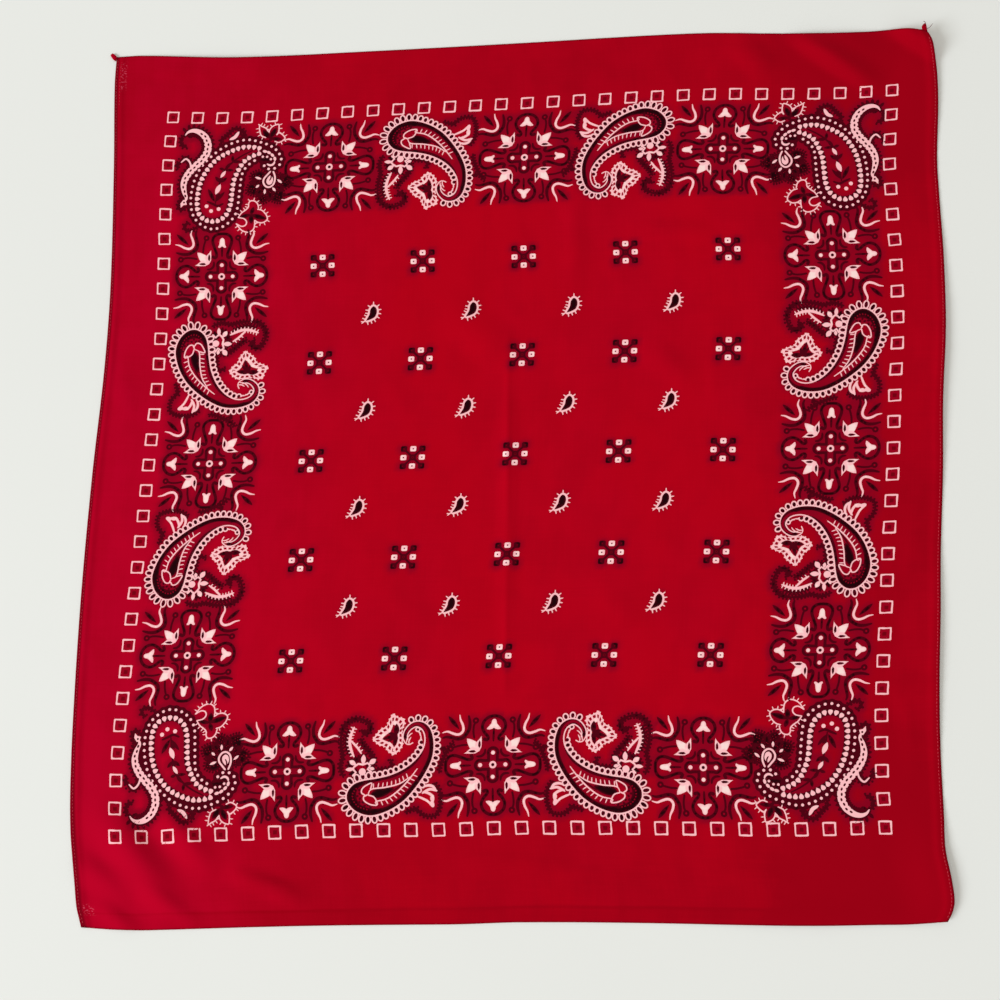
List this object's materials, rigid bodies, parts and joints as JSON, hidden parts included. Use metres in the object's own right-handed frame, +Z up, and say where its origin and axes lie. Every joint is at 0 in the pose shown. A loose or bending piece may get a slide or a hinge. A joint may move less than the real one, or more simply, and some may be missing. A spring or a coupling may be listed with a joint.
{
  "type": "square cotton bandana, laid flat",
  "caption": "Thin square of printed cotton cloth with two hemmed sides and two woven edges, laid flat, for tying round the neck, head or wrist.",
  "frame": {"origin": "on the table, under the middle of the laid cloth's box", "axes": "+X across the cloth to the right, +Y up the cloth along its hems, +Z up from the table through the printed side"},
  "size_m": [0.5375, 0.5581, 0.0085],
  "materials": {
    "printed_cotton": "plain-woven cotton dyed red, matt, with a traditional paisley print in white and black",
    "hem_cotton": "the same plain red cotton, turned under and sewn with one line of stitches"
  },
  "bodies": {
    "root": {"panel": "printed_cotton", "hem_left": "hem_cotton", "hem_right": "hem_cotton"}
  },
  "joints": []
}
